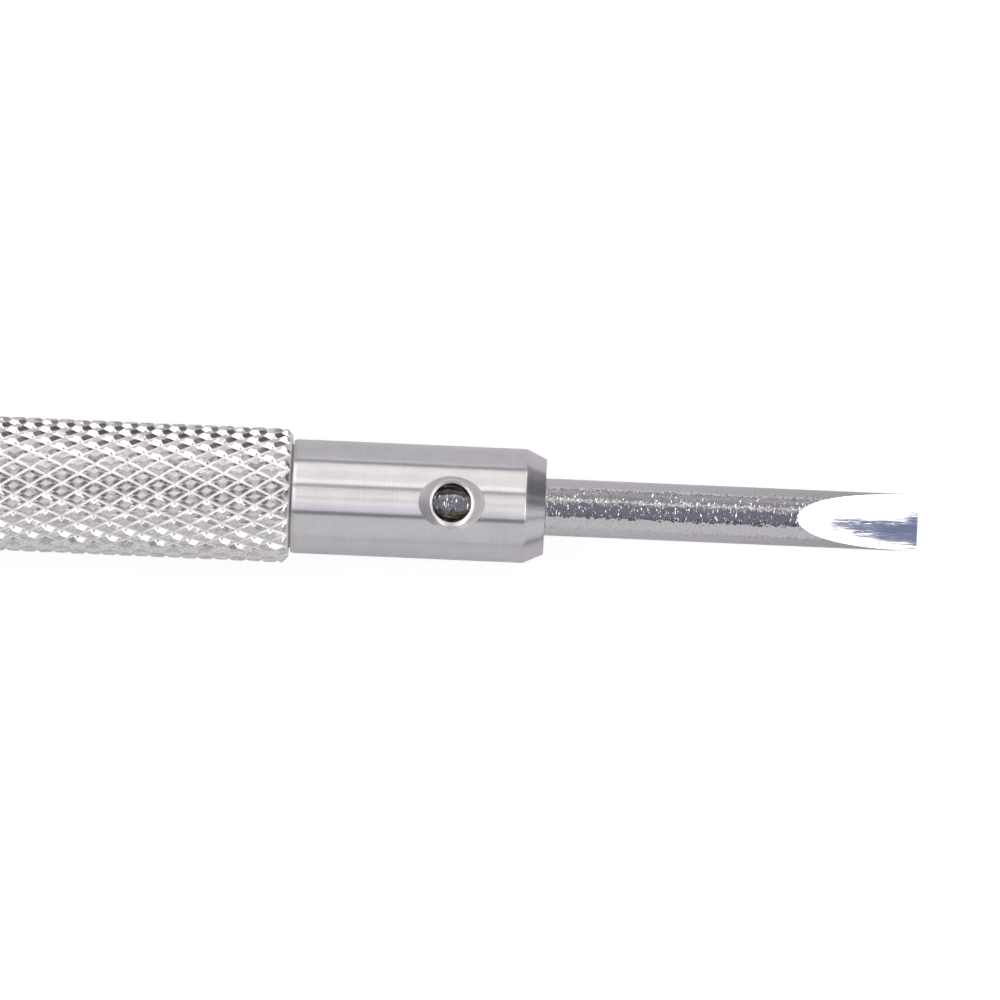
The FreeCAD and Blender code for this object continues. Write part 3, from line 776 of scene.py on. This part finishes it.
def make_nose():
    """The turned nose, with its spigot, the undercut seam and the cross hole."""
    chamfer_rear = NOSE_FRONT - NOSE_CHAMFER_LENGTH
    face_radius = NOSE_RADIUS - NOSE_CHAMFER_DEPTH
    seam = HANDLE_FRONT + SEAM_WIDTH
    corners = [
        (SPIGOT_REAR, 0, 0),
        (SPIGOT_REAR, SPIGOT_RADIUS - SPIGOT_CHAMFER, 0),
        (SPIGOT_REAR + SPIGOT_CHAMFER, SPIGOT_RADIUS, 0),
        (HANDLE_FRONT, SPIGOT_RADIUS, 0),
        (HANDLE_FRONT, NOSE_RADIUS - SEAM_DEPTH, 0),
        (seam, NOSE_RADIUS - SEAM_DEPTH, 0),
        (seam, NOSE_RADIUS - LEAD_IN_DEPTH, FINE_ROUND),
        (seam + LEAD_IN_LENGTH, NOSE_RADIUS, LEAD_IN_ROUND),
        (chamfer_rear, NOSE_RADIUS, NOSE_CHAMFER_ROUND),
        (NOSE_FRONT, face_radius, FINE_ROUND),
        (NOSE_FRONT, BLADE_BORE + BORE_CHAMFER, 0),
        (NOSE_FRONT - BORE_CHAMFER, BLADE_BORE, 0),
        (NOSE_FRONT - BLADE_BORE_DEPTH, BLADE_BORE, 0),
        (NOSE_FRONT - BLADE_BORE_DEPTH, 0, 0),
    ]
    solid = lathe("nose_turned", corners, step=FINE_STEP)
    mesh = combined(solid, threaded_cutter(), "DIFFERENCE")
    mark_faces(mesh, nose_finish)
    return new_piece(
        "nose_turned",
        mesh,
        "nose_steel",
        "handle",
        "blade_holder",
        turned_metal("nose_steel", (0.595, 0.592, 0.6), (0.68, 0.673, 0.68), 0.31, 0.0008),
        turned_metal("nose_chamfer_steel", (0.6, 0.59, 0.6), (0.66, 0.65, 0.66), 0.26, 0.0006, 0.5),
        drilled_steel("nose_countersink_steel", (0.72, 0.71, 0.72), (0.84, 0.83, 0.83), 0.34),
        drilled_steel("nose_thread_and_shaded_seam_steel", (0.26, 0.23, 0.2), (0.44, 0.39, 0.35), 0.32),
        drilled_steel("nose_lip_steel", (0.5, 0.49, 0.51), (0.66, 0.65, 0.66), 0.3),
    )


def make_blade():
    """The round blade, then one hollow-ground flat cut on each side of the working edge."""
    corners = [
        (BLADE_REAR, 0, 0),
        (BLADE_REAR, BLADE_RADIUS - BLADE_REAR_CHAMFER, 0),
        (BLADE_REAR + BLADE_REAR_CHAMFER, BLADE_RADIUS, 0),
        (BLADE_TIP, BLADE_RADIUS, 0),
        (BLADE_TIP, 0, 0),
    ]
    mesh = lathe("blade_ground", corners, step=FINE_STEP, segments=BLADE_SEGMENTS)
    for side in (1, -1):
        mesh = combined(mesh, grinding_wheel(side), "DIFFERENCE")
    mark_faces(mesh, blade_finish)
    return new_piece(
        "blade_ground", mesh, "blade_steel", "blade", "blade", polished_steel(), ground_steel()
    )


def blade_finish(centre, normal):
    """Which finish a face of the blade has: 0 for the round steel, 1 for the ground flats."""
    on_the_round = math.hypot(centre.y, centre.z) > BLADE_RADIUS - 0.004
    faces_up = abs(normal.y) < 0.08 and abs(normal.z) > 0.9
    on_a_flat = centre.x > BLADE_TIP - GRIND_RUN and faces_up and not on_the_round
    on_the_end = centre.x > BLADE_TIP - NEAR
    return 1 if on_a_flat or on_the_end else 0


def grinding_wheel(side):
    """The metal that grinding removes on one side: a band of a wheel's rim, slightly hollow."""
    start = Vector((BLADE_TIP - GRIND_RUN, BLADE_RADIUS + GRIND_ENTRY))
    end = Vector((BLADE_TIP, EDGE_THICKNESS / 2))
    chord = end - start
    normal = Vector((-chord.y, chord.x)).normalized()
    reach = math.sqrt(GRIND_RADIUS**2 - (chord.length / 2) ** 2)
    centre = (start + end) / 2 + normal * reach
    first = math.atan2(start.y - centre.y, start.x - centre.x)
    last = math.atan2(end.y - centre.y, end.x - centre.x)
    beyond = last + (last - first) * GRIND_OVERRUN
    rim = []
    for step in range(RIM_STEPS + 1):
        turn = first + (beyond - first) * step / RIM_STEPS
        rim.append(centre + Vector((math.cos(turn), math.sin(turn))) * GRIND_RADIUS)
    above = start.y + CUT_MARGIN
    outline = rim + [Vector((rim[-1].x, above)), Vector((start.x, above))]
    loops = []
    vertices = []
    for level in range(RIM_LEVELS + 1):
        y = GRIND_WIDTH * (level / RIM_LEVELS - 0.5)
        loops.append([len(vertices) + index for index in range(len(outline))])
        for index, point in enumerate(outline):
            sunk = GRIND_CROWN * y * y if index <= RIM_STEPS else 0.0
            vertices.append((point.x, y, side * (point.y - sunk)))
    faces = [loops[0], loops[-1]]
    for near, far in zip(loops, loops[1:]):
        for index in range(len(outline)):
            following = (index + 1) % len(outline)
            faces.append((near[index], near[following], far[following], far[index]))
    mesh = bpy.data.meshes.new("grinding_wheel")
    mesh.from_pydata(vertices, [], faces)
    return finished(mesh)


def make_set_screw():
    """Headless screw with its slot facing down, and a thread down its side."""
    top = SCREW_HIGH.z
    bottom = SCREW_LOW.z
    corners = [
        (bottom, 0, 0),
        (bottom, SCREW_RADIUS - SCREW_CHAMFER, 0),
        (bottom + SCREW_CHAMFER_LENGTH, SCREW_RADIUS, 0),
        (top - SCREW_POINT, SCREW_RADIUS, 0),
        (top, SCREW_RADIUS - SCREW_POINT, 0),
        (top, 0, 0),
    ]
    solid = lathe("set_screw", corners, along="z", step=SCREW_STEP, segments=SCREW_SEGMENTS)
    press_thread(
        solid, SCREW_RADIUS, -SCREW_THREAD_DEPTH, lambda across, z: across >= SCREW_RADIUS - NEAR
    )
    solid.transform(Matrix.Translation((HOLE_X, 0, 0)))
    half = SLOT_WIDTH / 2
    reach = SCREW_RADIUS + CUT_MARGIN
    slot = [
        (HOLE_X - half, bottom - CUT_MARGIN),
        (HOLE_X + half, bottom - CUT_MARGIN),
        (HOLE_X + half, bottom + SLOT_DEPTH),
        (HOLE_X - half, bottom + SLOT_DEPTH),
    ]
    mesh = combined(solid, prism("slot_cutter", slot, -reach, reach, "y"), "DIFFERENCE")
    steel = turned_metal("screw_steel", (0.4, 0.4, 0.42), (0.5, 0.5, 0.52), 0.35, 0.002, 0.3)
    return new_piece("set_screw", mesh, "screw_steel", "clamp_screw", "blade_set_screw", steel)


def make_ring():
    outer = RING_HIGH.z
    corners = [
        (RING_LOW.x, RING_BORE, 0),
        (RING_LOW.x, outer - RING_CHAMFER, RING_EDGE_ROUND),
        (RING_LOW.x + RING_CHAMFER, outer, RING_EDGE_ROUND),
        (RING_HIGH.x - RING_CHAMFER, outer, RING_EDGE_ROUND),
        (RING_HIGH.x, outer - RING_CHAMFER, RING_EDGE_ROUND),
        (RING_HIGH.x, RING_BORE, 0),
    ]
    mesh = lathe("ring_brown", corners, closed=True)
    return new_piece("ring_brown", mesh, "ring_anodised", "handle", "size_ring", anodised())


def hexagon_outline(half_flats, rounding, steps=8):
    """A hexagon with flats at top and bottom and rounded corners, as (y, z) points."""
    outline = []
    centre_reach = (half_flats - rounding) / math.cos(math.radians(30))
    for corner in range(6):
        middle = math.radians(60 * corner)
        centre = Vector((math.cos(middle), math.sin(middle))) * centre_reach
        for step in range(steps + 1):
            turn = middle + math.radians(60) * (step / steps - 0.5)
            point = centre + Vector((math.cos(turn), math.sin(turn))) * rounding
            outline.append((point.x, point.y))
    return outline


def make_shell():
    """The hexagon cut by a turned shape that has the end cones and the bores."""
    half_flats = SHELL_HIGH.z
    outline = hexagon_outline(half_flats, SHELL_CORNER_ROUND)
    rear, front = SHELL_LOW.x - CUT_MARGIN, SHELL_HIGH.x + CUT_MARGIN
    hexagon = prism("shell_hexagon", outline, rear, front, "x")
    # A little wider than the hexagon's corners, so that the cones run out through them.
    wide = half_flats * 1.2
    run = wide - SHELL_CONE_RADIUS
    shoulder = BEARING_LOW.x
    dish_front = DISH_HIGH.x
    turned = lathe(
        "shell_turned",
        [
            (SHELL_LOW.x, SHELL_DISH_BORE + SHELL_BORE_CHAMFER, 0),
            (SHELL_LOW.x, SHELL_CONE_RADIUS, SHELL_EDGE_ROUND),
            (SHELL_LOW.x + run, wide, 0),
            (SHELL_HIGH.x - run, wide, 0),
            (SHELL_HIGH.x, SHELL_CONE_RADIUS, SHELL_EDGE_ROUND),
            (SHELL_HIGH.x, SHELL_BORE + SHELL_BORE_CHAMFER, 0),
            (SHELL_HIGH.x - SHELL_BORE_CHAMFER, SHELL_BORE, 0),
            (shoulder, SHELL_BORE, 0),
            (shoulder, SHELL_NECK, 0),
            (dish_front, SHELL_NECK, 0),
            (dish_front, SHELL_DISH_BORE, 0),
            (SHELL_LOW.x + SHELL_BORE_CHAMFER, SHELL_DISH_BORE, 0),
        ],
        closed=True,
        step=SHELL_STEP,
    )
    mesh = combined(turned, hexagon, "INTERSECT")
    steel = turned_metal("shell_steel", (0.6, 0.59, 0.59), (0.69, 0.68, 0.67), 0.3, 0.0008, 0.8)
    return new_piece("shell_hexagonal", mesh, "head_steel", "swivel_head", "swivel_shell", steel)


def make_dish():
    """The finger rest: a plug with a shallow spherical hollow in its rear face."""
    outer = DISH_HIGH.z
    depth = DISH_HOLLOW_DEPTH
    sphere = (DISH_HOLLOW_RADIUS**2 + depth**2) / (2 * depth)
    centre = DISH_LOW.x + depth - sphere
    corners = [
        (DISH_HIGH.x, 0, 0),
        (DISH_HIGH.x, outer, 0),
        (DISH_LOW.x + DISH_CHAMFER, outer, 0),
        (DISH_LOW.x, outer - DISH_CHAMFER, DISH_EDGE_ROUND),
    ]
    widest = math.asin(DISH_HOLLOW_RADIUS / sphere)
    for step in range(DISH_STEPS + 1):
        turn = widest * (1 - step / DISH_STEPS)
        rounding = DISH_RIM_ROUND if step == 0 else 0
        corners.append((centre + sphere * math.cos(turn), sphere * math.sin(turn), rounding))
    mesh = lathe("dish_polished", corners)
    steel = turned_metal("dish_steel", (0.64, 0.63, 0.63), (0.7, 0.69, 0.685), 0.24, 0.0006)
    return new_piece("dish_polished", mesh, "dish_steel", "swivel_head", "finger_dish", steel)


def paint_frame():
    """Materials for the CAD pieces that stay as they are."""
    lapped = turned_metal("bearing_lapped", (0.6, 0.6, 0.62), (0.68, 0.68, 0.7), 0.14, 0.0002, 0.2)
    turned = turned_metal("stud_turned", (0.52, 0.52, 0.53), (0.62, 0.62, 0.63), 0.32, 0.001)
    sheet = turned_metal("shield_pressed", (0.48, 0.48, 0.5), (0.57, 0.57, 0.58), 0.3, 0.001, 0.4)
    cage = brass()
    paints = {
        "head_stud": turned,
        "bearing_screw": turned,
        "bearing_shield_front": sheet,
        "bearing_shield_rear": sheet,
        "bearing_cage": cage,
    }
    for name, node in frame["nodes"].items():
        if name in paints or name.startswith("bearing_"):
            node.data.materials.clear()
            node.data.materials.append(paints.get(name, lapped))


# Stage, light and camera ----------------------------------------------------------------------


def white_paper(name, glow, paint=0.0):
    """A surface that looks evenly white, with a faint shadow where paint takes over from glow."""
    material = bpy.data.materials.new(name)
    material.use_nodes = True
    graph = Graph(material.node_tree)
    light = graph.node("ShaderNodeEmission", {"Strength": glow})
    matt = graph.node("ShaderNodeBsdfDiffuse", {"Color": (paint, paint, paint, 1.0)})
    both = graph.node("ShaderNodeAddShader", {0: light.outputs[0], 1: matt.outputs[0]})
    output = graph.node("ShaderNodeOutputMaterial")
    graph.tree.links.new(both.outputs[0], output.inputs["Surface"])
    return material


def lit_paper():
    """The floor as the metal sees it, with painted shade darkening it towards the dark end of the
    room.
    """
    material = bpy.data.materials.new("floor_pale")
    material.use_nodes = True
    graph = Graph(material.node_tree)
    place = graph.node("ShaderNodeTexCoord").outputs["Object"]
    x = graph.node("ShaderNodeSeparateXYZ", {0: place}).outputs[0]
    # Painted shade: the floor's colour darkens beyond the tip.
    share = graph.ramp(x, 15 * MM, 60 * MM)
    colour = graph.mix(share, (0.7, 0.7, 0.72, 1.0), (0.16, 0.16, 0.18, 1.0))
    shader = graph.node("ShaderNodeBsdfDiffuse", {"Color": colour})
    output = graph.node("ShaderNodeOutputMaterial")
    graph.tree.links.new(shader.outputs[0], output.inputs["Surface"])
    return material


# How far the floor lies below the tool, which leaves room for the head's corners and for the
# clamp screw when they move, and how much lower the floor that the metal sees lies.
FLOOR_DROP = 0.7
LIT_FLOOR_DROP = FLOOR_DROP + 0.03
# Half the floor's side and the backdrop's radius, in metres, and how white they look.
FLOOR_REACH = 4.0
FLOOR_GLOW = 0.86
FLOOR_PAINT = 0.2
BACKDROP_RADIUS = 3.0
BACKDROP_GLOW = 0.97


def make_stage():
    """A pale floor along the head's lower flat and the front of the knurl, and a backdrop."""
    heel = Vector((SHELL_HIGH.x - (SHELL_HIGH.z - SHELL_CONE_RADIUS), 0, SHELL_LOW.z))
    toe = Vector((HANDLE_FRONT - HANDLE_CHAMFER, 0, -CREST_RADIUS))
    slope = math.atan2(toe.z - heel.z, toe.x - heel.x)
    tilt = Matrix.Rotation(-slope, 4, "Y")
    floors = (
        ("floor_seen", FLOOR_DROP, white_paper("floor_white", FLOOR_GLOW, FLOOR_PAINT), True),
        ("floor_lit", LIT_FLOOR_DROP, lit_paper(), False),
    )
    reach = FLOOR_REACH
    for name, drop, material, seen in floors:
        mesh = bpy.data.meshes.new(name)
        corners = [(-reach, -reach, 0), (reach, -reach, 0), (reach, reach, 0), (-reach, reach, 0)]
        mesh.from_pydata(corners, [], [(0, 1, 2, 3)])
        mesh.materials.append(material)
        floor = bpy.data.objects.new(name, mesh)
        bpy.context.scene.collection.objects.link(floor)
        floor.matrix_world = Matrix.Translation((toe - Vector((0, 0, drop))) * MM) @ tilt
        floor.visible_camera = seen
        floor.visible_diffuse = not seen
        floor.visible_glossy = not seen
        floor.visible_shadow = not seen
    mesh = bpy.data.meshes.new("backdrop")
    work = bmesh.new()
    bmesh.ops.create_uvsphere(work, u_segments=48, v_segments=24, radius=BACKDROP_RADIUS)
    work.to_mesh(mesh)
    work.free()
    mesh.materials.append(white_paper("backdrop_white", BACKDROP_GLOW))
    backdrop = bpy.data.objects.new("backdrop", mesh)
    bpy.context.scene.collection.objects.link(backdrop)
    backdrop.visible_diffuse = False
    backdrop.visible_glossy = False
    backdrop.visible_shadow = False


# Light all round the tool. Each patch covers a range of angles round the tool's axis, from
# straight up (0) towards -Y (positive), and a range of leans along the axis towards the tip, in
# degrees, with the softness of its edges after each. Later patches cover earlier ones.
ROOM_LIGHT = (0.8, 0.795, 0.82)
ALL_ALONG = (-95, 95, 1)
HANDLE_BOX = (-34, -16, 3)
BETWEEN_BOXES = (-16, 15, 2)
TIP_BOX = (15, 34, 3)
SOFTBOX_LIGHT = (3.6, 3.4, 3.3)
FADED_LIGHT = (2.3, 2.25, 2.5)
DIM_BLUE = (0.27, 0.3, 0.45)
PATCHES = (
    # The +Y side is a little bluer, and lighter next to the softboxes.
    ((-180, -84, 2), ALL_ALONG, (0.79, 0.79, 0.9)),
    ((-112, -80, 14), ALL_ALONG, (1.05, 1.05, 1.16)),
    # Softboxes above, one towards the handle and one towards the tip, each fading to one side.
    ((-77, 29.5, 1), HANDLE_BOX, SOFTBOX_LIGHT),
    ((-77, 29.5, 1), TIP_BOX, SOFTBOX_LIGHT),
    ((12, 31, 12), HANDLE_BOX, FADED_LIGHT),
    ((12, 31, 12), TIP_BOX, FADED_LIGHT),
    # On the +Y side the softbox towards the tip is brighter at its inner edge, and shaded beyond.
    ((-77, -10, 4), (15, 24, 3), (4.2, 4.0, 3.9)),
    ((-77, -10, 4), (24, 38, 3), (0.3, 0.29, 0.31)),
    # Dark end of the room beyond the tip, with a dim edge on the +Y side.
    ((-150, -86, 6), (22, 60, 8), (0.45, 0.45, 0.52)),
    ((-136, 8, 34), (34, 95, 3), (0.1, 0.1, 0.13)),
    # Between the softboxes: dim walls, a lighter strip and a dark shape straight above.
    ((-77, -36, 3), BETWEEN_BOXES, (0.55, 0.54, 0.57)),
    ((-56, -34, 4), BETWEEN_BOXES, (0.4, 0.39, 0.42)),
    ((-36, -28.5, 1.5), BETWEEN_BOXES, (1.15, 1.15, 1.2)),
    ((-20, 30, 2), BETWEEN_BOXES, (0.24, 0.24, 0.3)),
    # The dark shape's bluish edge, which the blade's flat mirrors, narrower further out.
    ((-0.5, 2.4, 0.6), (14, 28, 1), DIM_BLUE),
    ((-0.5, 4.0, 0.6), (14, 25, 1), DIM_BLUE),
    ((-0.8, 5.2, 0.6), (14, 22, 1), DIM_BLUE),
    ((-2.4, 5.8, 0.6), (13, 18, 1), DIM_BLUE),
    ((-6.5, 5.8, 0.6), (13, 16, 1), DIM_BLUE),
    ((-9.0, 5.8, 0.6), (13, 15.4, 0.8), DIM_BLUE),
    ((-11.5, 5.8, 0.6), (13, 14.9, 0.6), DIM_BLUE),
    # Gaps between the lights.
    ((-28, -21, 0.5), ALL_ALONG, (0.4, 0.38, 0.4)),
    ((-83.5, -77, 0.5), ALL_ALONG, (0.27, 0.25, 0.26)),
    ((29, 36.5, 0.5), ALL_ALONG, (0.08, 0.07, 0.08)),
)


def make_light():
    """The world: the room's light, and the patches over it."""
    world = bpy.data.worlds.new("studio")
    bpy.context.scene.world = world
    world.use_nodes = True
    graph = Graph(world.node_tree)
    towards = graph.node("ShaderNodeTexCoord").outputs["Generated"]
    x, y, z = graph.node("ShaderNodeSeparateXYZ", {0: towards}).outputs[:3]
    degrees = math.degrees(1)
    lean = graph.math("MULTIPLY", graph.math("ARCSINE", x), degrees)
    sideways = graph.math("MULTIPLY", y, -1.0)
    turn = graph.math("MULTIPLY", graph.math("ARCTAN2", sideways, z), degrees)
    light = (*ROOM_LIGHT, 1.0)
    for around, along, colour in PATCHES:
        mask = 1.0
        for value, (low, high, soft) in ((turn, around), (lean, along)):
            enter = graph.ramp(value, low - soft / 2, low + soft / 2)
            leave = graph.ramp(value, high - soft / 2, high + soft / 2, 1.0, 0.0)
            mask = graph.math("MULTIPLY", mask, graph.math("MULTIPLY", enter, leave))
        light = graph.mix(mask, light, (*colour, 1.0))
    background = graph.node("ShaderNodeBackground", {"Color": light, "Strength": 1.0})
    output = graph.node("ShaderNodeOutputWorld")
    graph.tree.links.new(background.outputs[0], output.inputs["Surface"])


# The camera looks straight down on the front of the tool from far off, turned a little.
VIEW_CENTRE_FROM_NOSE = (-2.38, 0.26)
VIEW_WIDTH = 52.6
VIEW_ROLL = math.radians(2.49)
LENS = 400.0
SENSOR = 36.0


def make_camera():
    data = bpy.data.cameras.new("camera")
    data.lens = LENS
    data.sensor_width = SENSOR
    camera = bpy.data.objects.new("camera", data)
    bpy.context.scene.collection.objects.link(camera)
    distance = VIEW_WIDTH * LENS / SENSOR
    along, across = VIEW_CENTRE_FROM_NOSE
    camera.location = Vector((NOSE_FRONT + along, across, distance)) * MM
    camera.rotation_euler = (0, 0, VIEW_ROLL)
    bpy.context.scene.camera = camera
    bpy.context.scene.view_settings.view_transform = "Standard"


make_camera()
make_light()
make_stage()
make_handle()
make_nose()
make_blade()
make_set_screw()
make_ring()
make_shell()
make_dish()
paint_frame()

bpy.context.view_layer.update()
